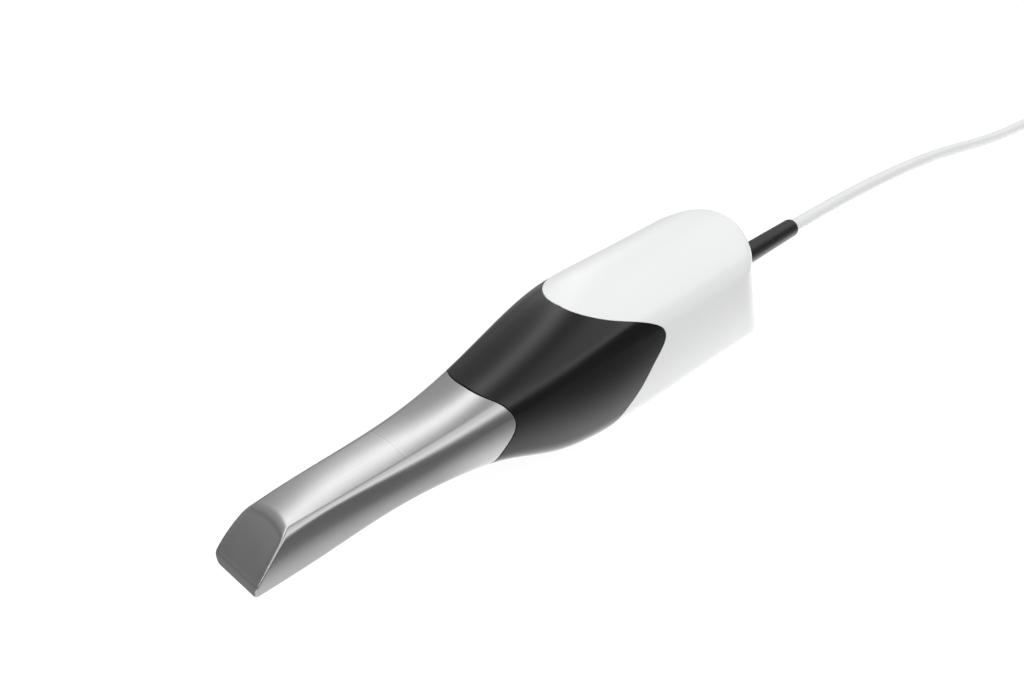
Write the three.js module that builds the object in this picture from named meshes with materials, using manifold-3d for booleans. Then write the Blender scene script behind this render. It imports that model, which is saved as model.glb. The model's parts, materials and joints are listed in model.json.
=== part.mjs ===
// Intraoral camera: a hand-held dental scanner with a steel sleeve that slides off for cleaning.
//
// Lengths are in millimetres. While the pieces are made, x runs from the front of the nose to
// the cable, y runs across and z runs up, with z = 0 on the flat underside of the nose. The
// outermost group then moves the origin to the middle of the scan window.

import * as THREE from "three";
import { mergeVertices } from "three/addons/utils/BufferGeometryUtils.js";
import Module from "manifold-3d";

const wasm = await Module();
wasm.setup();

const degrees = THREE.MathUtils.degToRad;
const { PI, abs, atan2, cos, max, min, sign, sin, sqrt } = Math;

// ---------------------------------------------------------------- driving dimensions

// Outer form: half width and the heights of the top and the underside at stations along x.
const STATION = [0, 25, 50, 75, 100, 125, 150, 175, 200, 253];
const HALF_WIDTH = [11.1, 11.4, 12.7, 14.5, 17.2, 21.1, 24.4, 25.45, 25.45, 25.45];
const TOP = [16.6, 18.1, 18.3, 19.9, 25, 31.6, 36.5, 37.3, 37.3, 37.3];
const UNDERSIDE = [0, 0, 1.6, -0.3, -6.4, -15.8, -17.7, -17.7, -17.7, -17.7];
const REST_HEIGHT = -17.7;

// Rounding of the shoulder and of the bottom edge, and how far the top falls from its crown.
const EDGE_STATION = [0, 60, 120, 253];
const SHOULDER_RADIUS = [1.1, 2, 4.8, 5.2];
const BOTTOM_RADIUS = [1.8, 3.7, 9.5, 9.3];
const CROWN_FALL = [1.6, 2, 6.8, 9.4];
const SIDE_BULGE = [0.42, 0.4, 0.22, 0.22];
const SIDE_WIDEST = [0.36, 0.4, 0.65, 0.65];

// Nose: a gently convex sloping face above a short upright lip.
const LIP_HEIGHT = 4.4;
const BEVEL_SLOPE = 1.15;
const BEVEL_CURVE = 0.018;
const BEVEL_EDGE_RADIUS = 1.2;
const LIP_EDGE_RADIUS = 1;

// Rear wall: half an ellipse in plan, leaning outwards towards the bottom.
const REAR_LENGTH = 236.6;
const REAR_LEAN = 0.32;
const REAR_DEPTH = 22;
const REAR_EDGE_RADIUS = 2.5;
const REAR_EDGE_GROWTH = 0.2;

// The two joint lines between the casings, from the top centre (0) round to the bottom (180).
const SLEEVE_JOINT_ANGLE = [0, 30, 60, 85, 116, 180];
const SLEEVE_JOINT = [93.2, 94.8, 99.3, 100.4, 94.8, 88];
const HOUSING_JOINT_ANGLE = [0, 27, 45, 62, 71, 90, 115, 130, 180];
const HOUSING_JOINT = [138.6, 142.9, 153.1, 168, 171, 166.2, 156.7, 146, 133];
const JOINT_GAP = 0.35;

// Casing walls, and the stepped lip of the grip that the housing's edge closes over.
const SLEEVE_WALL = 0.65;
const GRIP_WALL = 2.2;
const HOUSING_WALL = 2.4;
const LIP_DEPTH = 1.3;
const LIP_LENGTH = 4;
const GASKET_LENGTH = 1;

// Gaps: between flat or turned pieces that fit together, between faceted shells, and round a
// shaft that runs in a hole.
const FIT_GAP = 0.1;
const SHELL_GAP = 0.3;
const RUNNING_GAP = 0.1;

// Nose optics: a rounded-rectangular tube on one optical axis.
const AXIS_HEIGHT = 9.7;
const TUBE_START = 22;
const TUBE_END = 105;
const TUBE_HALF_WIDTH = 9.2;
const TUBE_HALF_HEIGHT = 6;
const TUBE_CORNER = 3.5;
const TUBE_WALL = 1;
const LENS_RADIUS = 4.7;

// Scan window under the nose.
const WINDOW_X = 12;
const WINDOW_SIZE = 12.4;
const FRAME_SIZE = 15;
const FRAME_DEPTH = 1.2;

// Chassis and the flange in front of it.
const FLANGE_THICKNESS = 2.5;
const CHASSIS_START = 107.8;
const CHASSIS_END = 190;
const CHASSIS_HALF_WIDTH = 14.6;
const CHASSIS_FLOOR = -1.6;
const CHASSIS_WALL = 2.4;
const CHASSIS_TOP = 17.8;
const PLATE_THICKNESS = 2.5;

// Focus drive.
const ROD_OFFSET = 10.6;
const ROD_RADIUS = 1;
const CARRIAGE_START = 122;
const CARRIAGE_END = 127;
const COIL_PLATE_X = 141;

// Release button, latch lever and the lever's pin. The button's pusher ends under the lever's
// rear arm.
const BUTTON_X = 123;
const BUTTON_LENGTH = 14;
const BUTTON_WIDTH = 8;
const BUTTON_PROUD = 0.3;
const PIN_X = 114.5;
const PIN_HEIGHT = -3.8;
const PIN_RADIUS = 1;
const LEVER_NOSE_X = 108.2;
const LEVER_HEIGHT = 2.6;
const LEVER_WIDTH = 4;
const PUSH_X = 122.9;
const PUSH_HEIGHT = -5.3;
const SPRING_X = 127;

// Main board.
const BOARD_START = 192;
const BOARD_END = 240;
const BOARD_HALF_WIDTH = 15;
const BOARD_HEIGHT = -6;
const BOARD_THICKNESS = 1.6;
const BOARD_SCREWS = [-12, 12].flatMap((y) => [[BOARD_START + 4, y], [BOARD_END - 5, y]]);

// Cable: straight inside, then sinking and drifting sideways to where it lies on the surface
// that the housing rests on.
const CABLE_RADIUS = 2.95;
const RELIEF_END = 297;
const CABLE_STATION = [297, 340, 380, 420, 460, 500, 530, 566];
const CABLE_FALL = [7.3, 6.2, 3.8, -0.1, -6.3, -12.6, -14.6, -14.75];
const CABLE_DRIFT = [0, 0, 0, 0, 0, -1.4, -4, -7.5];
const CABLE_HEIGHT = CABLE_FALL[0];
const CABLE_END = CABLE_STATION[CABLE_STATION.length - 1];

// ---------------------------------------------------------------- materials

function finish(colour, roughness, metalness = 0) {
  return new THREE.MeshStandardMaterial({ color: colour, roughness, metalness });
}

const steel = finish(0xb4b6b9, 0.3, 1);
const blackSatin = finish(0x232426, 0.45);
const whiteGloss = finish(0xf1f2f3, 0.25);
const rubber = finish(0x17181a, 0.6);
const cableGrey = finish(0xe3e4e6, 0.5);
const aluminium = finish(0x9fa3a8, 0.4, 1);
const blackAluminium = finish(0x2b2d30, 0.5, 1);
const copper = finish(0xb87346, 0.4, 1);
const glass = finish(0xcfe3ea, 0.05);
const mirrorFace = finish(0xdfe5ea, 0.03, 1);
const magnet = finish(0x8c8f94, 0.3, 1);
const boardGreen = finish(0x1f5a3c, 0.5);
const chipBlack = finish(0x1c1d20, 0.4);
const nylon = finish(0xdad7cd, 0.55);

// ---------------------------------------------------------------- outer form

// Smooth curve through the given points: a natural cubic spline.
function smoothCurve(xs, ys) {
  const last = xs.length - 1;
  const bend = new Array(last + 1).fill(0);
  const carry = new Array(last + 1).fill(0);
  for (let i = 1; i < last; i++) {
    const before = xs[i] - xs[i - 1];
    const after = xs[i + 1] - xs[i];
    const share = before / (before + after);
    const pivot = share * bend[i - 1] + 2;
    const turn = (ys[i + 1] - ys[i]) / after - (ys[i] - ys[i - 1]) / before;
    bend[i] = (share - 1) / pivot;
    carry[i] = ((6 * turn) / (before + after) - share * carry[i - 1]) / pivot;
  }
  bend[last] = 0;
  for (let i = last - 1; i >= 0; i--) {
    bend[i] = bend[i] * bend[i + 1] + carry[i];
  }
  return (value) => {
    const x = min(max(value, xs[0]), xs[last]);
    let i = 0;
    while (i < last - 1 && x > xs[i + 1]) i++;
    const step = xs[i + 1] - xs[i];
    const b = (x - xs[i]) / step;
    const a = 1 - b;
    const sag = (a ** 3 - a) * bend[i] + (b ** 3 - b) * bend[i + 1];
    return a * ys[i] + b * ys[i + 1] + (sag * step * step) / 6;
  };
}

const halfWidth = smoothCurve(STATION, HALF_WIDTH);
const topHeight = smoothCurve(STATION, TOP);
const undersideCurve = smoothCurve(STATION, UNDERSIDE);
const underside = (x) => max(undersideCurve(x), REST_HEIGHT);
const shoulderRadius = smoothCurve(EDGE_STATION, SHOULDER_RADIUS);
const bottomRadius = smoothCurve(EDGE_STATION, BOTTOM_RADIUS);
const crownFall = smoothCurve(EDGE_STATION, CROWN_FALL);
const sideBulge = smoothCurve(EDGE_STATION, SIDE_BULGE);
const sideWidest = smoothCurve(EDGE_STATION, SIDE_WIDEST);

// Height of the sloping nose face, up to the station where its curve levels out.
const bevelHeight = (x) => LIP_HEIGHT + BEVEL_SLOPE * x - BEVEL_CURVE * x * x;
const bevelSlope = (x) => BEVEL_SLOPE - 2 * BEVEL_CURVE * x;

// Station of the rear wall at a place across and up.
function rearWall(y, z) {
  const curve = 1 - sqrt(max(1 - (y / halfWidth(REAR_LENGTH)) ** 2, 0));
  return REAR_LENGTH + (topHeight(REAR_LENGTH) - z) * REAR_LEAN - REAR_DEPTH * curve;
}

// The larger of two distances, with the edge where they cross rounded to radius r.
function roundedMax(a, b, r) {
  return min(-r, max(a, b)) + Math.hypot(max(r + a, 0), max(r + b, 0));
}

// Distance from the outer surface, near it: negative inside, zero on it, positive outside.
function field(x, y, z) {
  const width = halfWidth(x);
  const top = topHeight(x);
  const bottom = underside(x);
  const rise = (z - bottom) / (top - bottom);
  const side = width * (1 - sideBulge(x) * (rise - sideWidest(x)) ** 2);
  const crown = top - crownFall(x) * (y / width) ** 2;
  let distance = roundedMax(z - crown, abs(y) - side, shoulderRadius(x));
  distance = roundedMax(distance, bottom - z, bottomRadius(x));

  const slope = bevelSlope(x);
  if (slope > 0) {
    const bevel = (z - bevelHeight(x)) / sqrt(1 + slope * slope);
    distance = roundedMax(distance, bevel, BEVEL_EDGE_RADIUS);
    distance = roundedMax(distance, -x, LIP_EDGE_RADIUS);
  }

  const ellipseCentre = REAR_LENGTH + (top - z) * REAR_LEAN - REAR_DEPTH;
  if (x <= ellipseCentre) return distance;
  const reach = Math.hypot((x - ellipseCentre) / REAR_DEPTH, y / width);
  const edge = min(REAR_EDGE_RADIUS, max(0.01, (x - ellipseCentre) * REAR_EDGE_GROWTH));
  return roundedMax(distance, (reach - 1) * REAR_DEPTH, edge);
}

// Joint lines as functions of the angle round a section, mirrored at both ends so that they
// cross the middle squarely.
function jointLine(angles, stations) {
  const last = angles.length - 1;
  const mirrored = [-angles[1], ...angles, 360 - angles[last - 1]];
  const values = [stations[1], ...stations, stations[last - 1]];
  return smoothCurve(mirrored, values);
}

const sleeveJoint = jointLine(SLEEVE_JOINT_ANGLE, SLEEVE_JOINT);
const housingJoint = jointLine(HOUSING_JOINT_ANGLE, HOUSING_JOINT);

// ---------------------------------------------------------------- shells

// A shell is made of rings of points. Each point lies on a spoke that leaves the spine of the
// body; the spokes crowd towards the rounded corners of the section.
const SPOKES = 36;
const SPOKE_POWER = 0.7;
const REAR_SPINE = 205;
const FARTHEST = 70;
const HALVINGS = 34;

const spread = (value) => sign(value) * abs(value) ** SPOKE_POWER;

// Middle and half height of the section at a station, under the sloping nose face.
function sectionHeights(x) {
  const top = bevelSlope(x) > 0 ? min(topHeight(x), bevelHeight(x)) : topHeight(x);
  return { middle: (top + underside(x)) / 2, half: (top - underside(x)) / 2 };
}

// The point of one ring on spoke k. station gives the spine's x for a section angle in degrees
// and a spoke, depth is the distance under the outer surface, and lean tips the spoke towards
// an end.
function ringPoint({ station, depth, lean = () => 0 }, k) {
  const turn = (2 * PI * k) / SPOKES;
  const across = spread(sin(turn));
  const up = spread(cos(turn));
  const x = station((atan2(abs(across), up) * 180) / PI, k);
  const { middle, half } = sectionHeights(x);
  const ray = new THREE.Vector3(0, across * halfWidth(x), up * half).normalize();
  ray.multiplyScalar(cos(lean(k))).setX(sin(lean(k)));
  const start = new THREE.Vector3(x, 0, middle);
  let near = 0;
  let far = FARTHEST;
  for (let i = 0; i < HALVINGS; i++) {
    const reach = (near + far) / 2;
    const point = start.clone().addScaledVector(ray, reach);
    if (field(point.x, point.y, point.z) < -depth) near = reach;
    else far = reach;
  }
  return start.addScaledVector(ray, near);
}

// Rings spread evenly between two stations, including both ends.
function sweep(from, to, count, depth) {
  return Array.from({ length: count }, (_, i) => {
    const share = i / (count - 1);
    return { station: (angle) => from(angle) * (1 - share) + to(angle) * share, depth };
  });
}

// Square sections at the given stations.
function sections(stations, depth) {
  return stations.map((x) => ({ station: () => x, depth }));
}

// The single point that closes the nose.
function nosePoint(depth) {
  return { station: () => depth + 0.1, depth, lean: () => -PI / 2, isPoint: true };
}

// Where spoke k meets the rim of the rear wall. Towards the sides, where the wall has no rim,
// it stays short of the place at which the wall runs straight along the side.
function rearRim(k, depth) {
  const point = ringPoint({ station: () => REAR_SPINE, depth }, k);
  return point.setX(rearWall(point.y * 0.9, point.z) - depth);
}

// Ring on the rear wall: share 0 is its middle and share 1 its rim. A setback puts the ring in
// front of the wall, on the top, the sides and the underside.
function rearRing(share, depth, setback = 0) {
  const { middle } = sectionHeights(REAR_SPINE);
  const lean = (k) => {
    const rim = rearRim(k, depth);
    const x = rim.x * share + (rearWall(0, middle) - depth) * (1 - share) - setback;
    return atan2(x - REAR_SPINE, Math.hypot(rim.y, rim.z - middle) * share);
  };
  return { station: () => REAR_SPINE, depth, lean, isPoint: share === 0 };
}

// Joins the rings into one closed surface. The ends may be single points; without them the
// last ring joins the first.
function shell(rings) {
  const positions = [];
  const starts = rings.map((ring) => {
    const start = positions.length / 3;
    const count = ring.isPoint ? 1 : SPOKES;
    for (let k = 0; k < count; k++) positions.push(...ringPoint(ring, k).toArray());
    return { start, count };
  });
  const faces = [];
  const point = (ring, k) => ring.start + (k % ring.count);
  const join = (a, b) => {
    for (let k = 0; k < SPOKES; k++) {
      if (b.count > 1) faces.push(point(a, k), point(b, k), point(b, k + 1));
      if (a.count > 1) faces.push(point(a, k), point(b, k + 1), point(a, k + 1));
    }
  };
  for (let i = 1; i < starts.length; i++) join(starts[i - 1], starts[i]);
  if (starts[0].count > 1) join(starts[starts.length - 1], starts[0]);
  const geometry = new THREE.BufferGeometry();
  geometry.setAttribute("position", new THREE.Float32BufferAttribute(positions, 3));
  geometry.setIndex(faces);
  return geometry;
}

// ---------------------------------------------------------------- joining and cutting

// A geometry as a solid that can be joined and cut.
function solid(geometry) {
  const bare = geometry.index ? geometry.toNonIndexed() : geometry.clone();
  bare.deleteAttribute("normal");
  bare.deleteAttribute("uv");
  const merged = mergeVertices(bare, 1e-4);
  return new wasm.Manifold(new wasm.Mesh({
    numProp: 3,
    vertProperties: merged.attributes.position.array,
    triVerts: new Uint32Array(merged.index.array),
  }));
}

function geometryOf(manifold) {
  const { numProp, vertProperties, triVerts } = manifold.getMesh();
  const geometry = new THREE.BufferGeometry();
  const points = new THREE.BufferAttribute(new Float32Array(vertProperties), numProp);
  geometry.setAttribute("position", points);
  geometry.setIndex(new THREE.BufferAttribute(new Uint32Array(triVerts), 1));
  return geometry;
}

const subtractAll = (body, cutters) => cutters.reduce((left, cut) => left.subtract(cut), body);
const addAll = (bodies) => bodies.reduce((left, body) => left.add(body));

// ---------------------------------------------------------------- basic shapes

// A block between two opposite corners.
function block(corner, opposite) {
  const size = corner.map((value, i) => abs(opposite[i] - value));
  const centre = corner.map((value, i) => (opposite[i] + value) / 2);
  return new THREE.BoxGeometry(...size).translate(...centre);
}

// Adds a rounded rectangle about the point (a, b) to an outline or a hole.
function roundedRectangle(outline, halfA, halfB, corner, a = 0, b = 0) {
  const r = min(corner, halfA, halfB);
  outline.moveTo(a - halfA + r, b - halfB);
  outline.lineTo(a + halfA - r, b - halfB);
  outline.absarc(a + halfA - r, b - halfB + r, r, -PI / 2, 0);
  outline.absarc(a + halfA - r, b + halfB - r, r, 0, PI / 2);
  outline.absarc(a - halfA + r, b + halfB - r, r, PI / 2, PI);
  outline.absarc(a - halfA + r, b - halfB + r, r, PI, 1.5 * PI);
  return outline;
}

// Extrudes an outline drawn across (y, z) along x, between two stations.
function alongX(outline, from, to, segments = 4) {
  const settings = { depth: to - from, bevelEnabled: false, curveSegments: segments };
  const geometry = new THREE.ExtrudeGeometry(outline, settings);
  return geometry.rotateY(PI / 2).rotateX(PI / 2).translate(from, 0, 0);
}

// Extrudes an outline drawn in the side view (x, z) across the width, centred on the middle.
function acrossY(outline, width, segments = 6) {
  const settings = { depth: width, bevelEnabled: false, curveSegments: segments };
  const geometry = new THREE.ExtrudeGeometry(outline, settings);
  return geometry.translate(0, 0, -width / 2).rotateX(PI / 2);
}

// Extrudes an outline drawn in plan (x, y) upwards.
function upZ(outline, from, to, segments = 6) {
  const settings = { depth: to - from, bevelEnabled: false, curveSegments: segments };
  return new THREE.ExtrudeGeometry(outline, settings).translate(0, 0, from);
}

// A turned piece on the x axis: pairs of distance along x and radius, starting and ending on
// the axis or closing on themselves. Their order is turned so that the faces point outwards.
function turned(profile, segments = 24) {
  const points = profile.map(([along, radius]) => new THREE.Vector2(radius, along));
  if (THREE.ShapeUtils.area(points) < 0) points.reverse();
  return new THREE.LatheGeometry(points, segments).rotateZ(-PI / 2);
}

function rod(from, to, radius, segments = 16) {
  return turned([[from, 0], [from, radius], [to, radius], [to, 0]], segments);
}

function tube(from, to, inner, outer, segments = 24) {
  const profile = [[from, inner], [from, outer], [to, outer], [to, inner], [from, inner]];
  return turned(profile, segments);
}

// A lens between two stations, crowned on both faces.
function lens(from, to, radius, crown) {
  const steps = [0, 0.5, 1];
  const bow = (share) => crown * (1 - share * share);
  const front = steps.map((share) => [from + crown - bow(share), radius * share]);
  const back = steps.map((share) => [to - crown + bow(share), radius * share]);
  return turned([...front, ...back.reverse()]);
}

// ---------------------------------------------------------------- scene graph

const scanner = new THREE.Group();
scanner.position.set(-WINDOW_X, 0, 0);

const onAxis = new THREE.Group();
onAxis.position.z = AXIS_HEIGHT;
scanner.add(onAxis);

function piece(name, geometry, material, parent = scanner) {
  const mesh = new THREE.Mesh(geometry, material);
  mesh.name = name;
  parent.add(mesh);
  return mesh;
}

// ---------------------------------------------------------------- sleeve

function sleeveShell() {
  const neck = () => 18;
  const lipEdge = [0.04, 0.25, 0.9];
  const slope = [3.5, 6.5, 9.5, 12.3, 14.2, 15.8];
  const slopeInside = [14.4, 10.5, 6, 2.5, 0.9];
  const rings = [
    nosePoint(0),
    ...sections([...lipEdge, ...slope], 0),
    ...sweep(neck, sleeveJoint, 7, 0),
    ...sweep(sleeveJoint, neck, 6, SLEEVE_WALL),
    ...sections(slopeInside, SLEEVE_WALL),
    nosePoint(SLEEVE_WALL),
  ];
  const half = FRAME_SIZE / 2 + FIT_GAP;
  const opening = block([WINDOW_X - half, -half, -1], [WINDOW_X + half, half, 2.5]);
  piece("sleeve_shell", geometryOf(solid(shell(rings)).subtract(solid(opening))), steel);
}

function scanWindow() {
  const outline = roundedRectangle(new THREE.Shape(), FRAME_SIZE / 2, FRAME_SIZE / 2, 1, WINDOW_X);
  const opening = WINDOW_SIZE / 2 + FIT_GAP / 2;
  outline.holes.push(roundedRectangle(new THREE.Path(), opening, opening, 0.8, WINDOW_X));
  piece("window_frame", upZ(outline, 0, FRAME_DEPTH, 3), blackSatin);
  const half = WINDOW_SIZE / 2;
  const pane = roundedRectangle(new THREE.Shape(), half, half, 0.8, WINDOW_X);
  piece("scan_window", upZ(pane, 0, 0.8, 3), glass);
}

// The mirror leans at 45 degrees over the window; its carrier fills the wedge under the bevel.
function deflectionMirror() {
  const length = 13.2;
  const thickness = 1;
  const width = 14;
  const box = new THREE.BoxGeometry(length, width, thickness);
  const mirror = piece("deflection_mirror", box, mirrorFace);
  mirror.rotation.y = -PI / 4;
  mirror.position.set(9.6, 0, 7);

  const backOffset = (thickness / 2 + FIT_GAP) * sqrt(2);
  const behindMirror = (x) => x - mirror.position.x + mirror.position.z + backOffset;
  const underSlope = (x) => bevelHeight(x) - 1.6;
  const stations = [3.9, 6, 9, 12, 14.4];
  const outline = new THREE.Shape();
  outline.moveTo(stations[0], behindMirror(stations[0]));
  stations.forEach((x) => outline.lineTo(x, max(underSlope(x), behindMirror(x) + 0.4)));
  outline.lineTo(14.4, behindMirror(14.4));
  piece("mirror_carrier", acrossY(outline, width), blackSatin);
}

// Plastic guide inside the back of the sleeve. Its two prongs straddle the latch; the slot
// between them is open at the back.
function sleeveCollar() {
  const start = 80;
  const end = 88;
  const rings = sweep(() => start, () => end, 2, SLEEVE_WALL + 1.5 * SHELL_GAP);
  const inner = sweep(() => end, () => start, 2, SLEEVE_WALL + 3.2);
  const ring = solid(shell([...rings, ...inner]));
  const passage = solid(alongX(tubeOutline(-0.25), start - 1, end + 1));
  const prongs = [-1, 1].map((side) => {
    return solid(block([start + 2, 2.3 * side, 0.7], [PIN_X - 3.2, 4.3 * side, 3]));
  });
  const body = addAll([ring, ...prongs]).subtract(passage);
  piece("sleeve_collar", geometryOf(body), nylon);
}

// ---------------------------------------------------------------- nose optics

function tubeOutline(shrink, Kind = THREE.Shape) {
  const half = [TUBE_HALF_WIDTH - shrink, TUBE_HALF_HEIGHT - shrink];
  return roundedRectangle(new Kind(), ...half, TUBE_CORNER - shrink / 2, 0, AXIS_HEIGHT);
}

function tubeRing(outer, inner, from, to) {
  const outline = tubeOutline(outer);
  outline.holes.push(tubeOutline(inner, THREE.Path));
  return alongX(outline, from, to);
}

const SCREW_PLACES = [-1, 1].flatMap((side) => [[11.9 * side, 16.4], [11.9 * side, 3]]);

// Opening in the flange and the chassis for the lever and the collar's prongs.
const latchNotch = (from) => block([from, -5.2, -16], [CHASSIS_START + 2.6, 5.2, 3.3]);

function screwHole(y, z, from, to) {
  return solid(rod(from, to, 1.1).translate(0, y, z));
}

function noseTube() {
  const stem = solid(tubeRing(0, TUBE_WALL, TUBE_START, TUBE_END + 0.5));
  const depth = GRIP_WALL + 2 * SHELL_GAP;
  const back = TUBE_END + FLANGE_THICKNESS;
  const plate = shell([
    ...sweep(() => TUBE_END, () => back, 2, depth),
    ...sweep(() => back, () => TUBE_END, 2, depth + 3),
  ]);
  const web = alongX(roundedRectangle(new THREE.Shape(), 13, 10, 5, 0, 9), TUBE_END, back);
  const bore = solid(alongX(tubeOutline(TUBE_WALL), TUBE_START - 1, back + 1));
  const holes = SCREW_PLACES.map(([y, z]) => screwHole(y, z, TUBE_END - 1, back + 1));
  const flange = addAll([solid(plate), solid(web)]);
  const notch = solid(latchNotch(TUBE_END - 1));
  const body = subtractAll(flange.add(stem), [bore, notch, ...holes]);
  piece("nose_tube", geometryOf(body), blackAluminium);
}

function noseWindow() {
  const seat = TUBE_WALL + 0.1;
  piece("window_retainer", tubeRing(seat, seat + 1.2, 22.3, 23.3), steel);
  piece("nose_window", alongX(tubeOutline(seat), 23.4, 24.9), glass);
  piece("window_heater_ring", tubeRing(seat, seat + 1, 25, 25.8), copper);
}

function relayLenses() {
  piece("front_relay_lens", lens(30, 34.6, LENS_RADIUS, 1.2), glass, onAxis);
  piece("lens_spacer", tube(35, 89, 3.9, LENS_RADIUS), blackAluminium, onAxis);
  piece("rear_relay_lens", lens(89.4, 94, LENS_RADIUS, 1.2), glass, onAxis);
}

// Rubber ring in front of the flange, against the inside of the grip.
function noseSeal() {
  const front = TUBE_END - 1.9;
  const back = TUBE_END - FIT_GAP;
  const depth = GRIP_WALL + 2 * SHELL_GAP;
  piece("nose_seal_ring", shell([
    ...sweep(() => front, () => back, 2, depth),
    ...sweep(() => back, () => front, 2, depth + 0.7),
  ]), rubber);
}

// A screw along x: a low head and a shank.
function screw(name, head, tip, y, z) {
  const way = sign(tip - head);
  const profile = [
    [head, 0], [head, 1.7], [head + 1.2 * way, 1.7], [head + 1.2 * way, 0.9], [tip, 0.9], [tip, 0],
  ];
  const mesh = piece(name, turned(profile, 16), steel);
  mesh.position.set(0, y, z);
}

function noseScrews() {
  SCREW_PLACES.forEach(([y, z], i) => {
    screw(`nose_screw_${i + 1}`, TUBE_END - 1.3, CHASSIS_START + PLATE_THICKNESS - 0.2, y, z);
  });
}

// ---------------------------------------------------------------- casings

const GRIP_START = (angle) => sleeveJoint(angle) + JOINT_GAP;
const GRIP_END = (angle) => housingJoint(angle) - JOINT_GAP / 2;
const LIP_END = (angle) => GRIP_END(angle) + LIP_LENGTH;
const HOUSING_START = (angle) => housingJoint(angle) + JOINT_GAP / 2;
const REBATE_END = (angle) => LIP_END(angle) + GASKET_LENGTH + 2 * SHELL_GAP;

function buttonOutline(extra, Kind = THREE.Shape) {
  const half = [BUTTON_LENGTH / 2 + extra, BUTTON_WIDTH / 2 + extra];
  return roundedRectangle(new Kind(), ...half, half[1], BUTTON_X, 0);
}

// A layer of the grip between two depths, before the button's hole is cut.
function gripLayer(outer, inner) {
  return solid(shell([
    ...sweep(GRIP_START, GRIP_END, 9, outer),
    ...sweep(GRIP_END, GRIP_START, 8, inner),
  ]));
}

function gripShell() {
  const rings = [
    ...sweep(GRIP_START, GRIP_END, 9, 0),
    ...sweep(GRIP_END, LIP_END, 2, LIP_DEPTH),
    ...sweep(LIP_END, GRIP_START, 8, GRIP_WALL),
  ];
  const hole = solid(upZ(buttonOutline(0.25), -25, 0));
  piece("front_grip_shell", geometryOf(solid(shell(rings)).subtract(hole)), blackSatin);
}

function releaseButton() {
  const cap = gripLayer(0, GRIP_WALL).intersect(solid(upZ(buttonOutline(0), -25, 0)));
  const capTop = underside(BUTTON_X) + GRIP_WALL;
  const pusher = solid(block([PUSH_X - 0.9, -1.7, capTop - 1.5], [PUSH_X + 0.9, 1.7, PUSH_HEIGHT]));
  const peg = solid(rod(capTop - 2, capTop + 1, 1.2).rotateY(-PI / 2).translate(SPRING_X, 0, 0));
  const body = addAll([cap, pusher, peg]).translate(0, 0, -BUTTON_PROUD);
  piece("release_button", geometryOf(body), blackSatin);

  const collar = buttonOutline(2.4);
  collar.holes.push(buttonOutline(0.6, THREE.Path));
  const layer = gripLayer(GRIP_WALL + SHELL_GAP, GRIP_WALL + 1.2);
  piece("button_seal", geometryOf(layer.intersect(solid(upZ(collar, -25, 0)))), rubber);
}

function housingShell() {
  const spine = () => REAR_SPINE;
  const rings = [
    ...[0, 0.4, 0.75, 1].map((share) => rearRing(share, HOUSING_WALL)),
    ...sweep(spine, REBATE_END, 4, HOUSING_WALL),
    ...sweep(REBATE_END, HOUSING_START, 2, LIP_DEPTH - SHELL_GAP),
    ...sweep(HOUSING_START, spine, 4, 0),
    rearRing(1, 0, 2 * REAR_EDGE_RADIUS),
    rearRing(1, 0, REAR_EDGE_RADIUS),
    ...[1, 0.95, 0.8, 0.55, 0.3, 0].map((share) => rearRing(share, 0)),
  ];
  const cableHole = solid(rod(235, 260, 5.1, 24).translate(0, 0, CABLE_HEIGHT));
  const upright = (x, y, from, to, radius) => {
    return solid(rod(from, to, radius, 12).rotateY(-PI / 2).translate(x, y, 0));
  };
  const bosses = BOARD_SCREWS.map(([x, y]) => {
    return upright(x, y, REST_HEIGHT + 1, BOARD_HEIGHT - FIT_GAP, 3);
  });
  const threads = BOARD_SCREWS.map(([x, y]) => {
    return upright(x, y, BOARD_HEIGHT - 5, BOARD_HEIGHT + 1, 1.15);
  });
  const body = addAll([solid(shell(rings)), ...bosses]);
  piece("rear_housing", geometryOf(subtractAll(body, [cableHole, ...threads])), whiteGloss);
}

function housingGasket() {
  const from = (angle) => LIP_END(angle) + SHELL_GAP;
  const to = (angle) => from(angle) + GASKET_LENGTH;
  const rings = [
    ...sweep(from, to, 2, LIP_DEPTH + 0.2),
    ...sweep(to, from, 2, GRIP_WALL),
  ];
  piece("housing_gasket", shell(rings), rubber);
}

// ---------------------------------------------------------------- chassis and latch

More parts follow.
